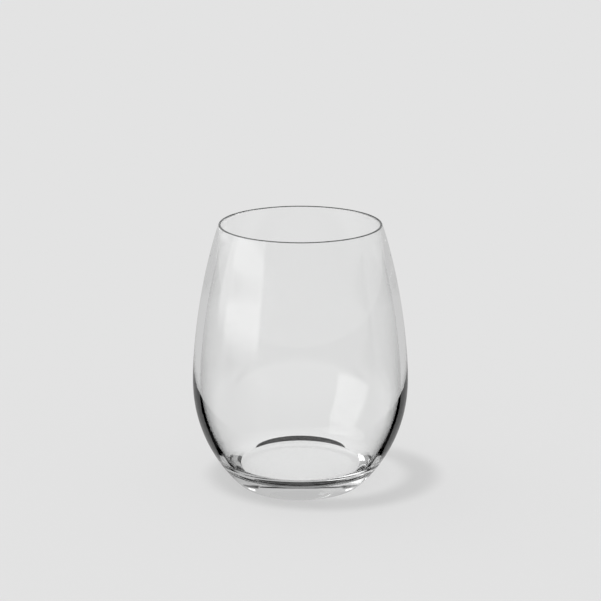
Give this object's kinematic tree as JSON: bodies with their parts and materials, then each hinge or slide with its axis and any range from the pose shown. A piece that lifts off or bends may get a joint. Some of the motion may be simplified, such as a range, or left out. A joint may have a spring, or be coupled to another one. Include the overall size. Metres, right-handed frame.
{
  "type": "stemless wine glass",
  "caption": "Clear stemless wine glass: egg shaped bowl narrowing to a fine rounded lip, on a thick flat base.",
  "frame": {"origin": "middle of the foot, on the surface that the glass stands on", "axes": "+Z along the glass's own axis, up through the mouth; X and Y level, and alike because the glass is round"},
  "size_m": [0.0895, 0.0894, 0.11],
  "materials": {
    "clear_glass": "polished clear glass"
  },
  "bodies": {
    "root": {"glass_body": "clear_glass"}
  },
  "joints": []
}
